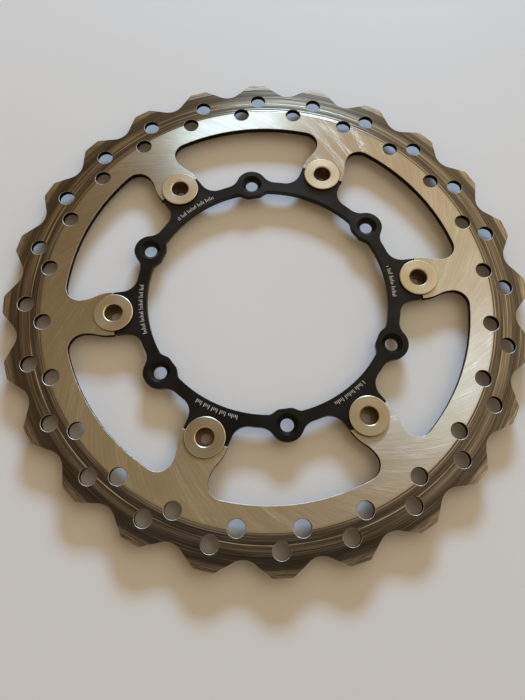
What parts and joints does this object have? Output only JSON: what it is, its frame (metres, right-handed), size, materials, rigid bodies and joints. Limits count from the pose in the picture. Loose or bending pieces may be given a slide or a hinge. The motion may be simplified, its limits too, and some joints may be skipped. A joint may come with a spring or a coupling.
{
  "type": "floating motorcycle brake disc",
  "caption": "Lobed, drilled steel brake ring floating on bobbins around a black aluminium carrier that bolts to a wheel hub.",
  "frame": {"origin": "on the disc's axis, in the plane of the carrier's six rear seats, which sit on the hub", "axes": "+Z along the disc's axis, away from the hub, towards the bobbins' flanges; +X through the middle of bobbin 1"},
  "size_m": [0.2596, 0.2596, 0.0075],
  "materials": {
    "rotor_steel": "ground stainless steel, worn by the pads in a track of fine circular grooves",
    "black_anodised": "satin black anodised aluminium",
    "bobbin_metal": "turned, pale champagne hard-anodised aluminium",
    "washer_steel": "plain bright steel",
    "spring_steel": "blued spring steel",
    "clip_steel": "black phosphated spring steel"
  },
  "bodies": {
    "carrier": {"carrier": "black_anodised"},
    "ring": {"brake_ring": "rotor_steel", "flat_washer_1": "washer_steel", "flat_washer_2": "washer_steel", "flat_washer_3": "washer_steel", "flat_washer_4": "washer_steel", "flat_washer_5": "washer_steel", "flat_washer_6": "washer_steel"},
    "bobbin_stack_1": {"bobbin_1": "bobbin_metal", "wave_washer_1": "spring_steel", "retaining_clip_1": "clip_steel"},
    "bobbin_stack_2": {"bobbin_2": "bobbin_metal", "wave_washer_2": "spring_steel", "retaining_clip_2": "clip_steel"},
    "bobbin_stack_3": {"bobbin_3": "bobbin_metal", "wave_washer_3": "spring_steel", "retaining_clip_3": "clip_steel"},
    "bobbin_stack_4": {"bobbin_4": "bobbin_metal", "wave_washer_4": "spring_steel", "retaining_clip_4": "clip_steel"},
    "bobbin_stack_5": {"bobbin_5": "bobbin_metal", "wave_washer_5": "spring_steel", "retaining_clip_5": "clip_steel"},
    "bobbin_stack_6": {"bobbin_6": "bobbin_metal", "wave_washer_6": "spring_steel", "retaining_clip_6": "clip_steel"}
  },
  "joints": [
    {"name": "ring_float", "type": "slide", "parent": "carrier", "child": "ring", "axis": [0, 0, 1], "range_m": [-0.00025, 0], "stiffness_N_per_m": 100000, "springref_m": 0.0004, "deforming": ["wave_washer_1", "wave_washer_2", "wave_washer_3", "wave_washer_4", "wave_washer_5", "wave_washer_6"]},
    {"name": "bobbin_spin_1", "type": "hinge", "parent": "carrier", "child": "bobbin_stack_1", "pos_m": [0.07625, 0, 0], "axis": [0, 0, 1], "continuous": true},
    {"name": "bobbin_spin_2", "type": "hinge", "parent": "carrier", "child": "bobbin_stack_2", "pos_m": [0.03812, 0.06603, 0], "axis": [0, 0, 1], "continuous": true},
    {"name": "bobbin_spin_3", "type": "hinge", "parent": "carrier", "child": "bobbin_stack_3", "pos_m": [-0.03812, 0.06603, 0], "axis": [0, 0, 1], "continuous": true},
    {"name": "bobbin_spin_4", "type": "hinge", "parent": "carrier", "child": "bobbin_stack_4", "pos_m": [-0.07625, 0, 0], "axis": [0, 0, 1], "continuous": true},
    {"name": "bobbin_spin_5", "type": "hinge", "parent": "carrier", "child": "bobbin_stack_5", "pos_m": [-0.03812, -0.06603, 0], "axis": [0, 0, 1], "continuous": true},
    {"name": "bobbin_spin_6", "type": "hinge", "parent": "carrier", "child": "bobbin_stack_6", "pos_m": [0.03812, -0.06603, 0], "axis": [0, 0, 1], "continuous": true}
  ]
}
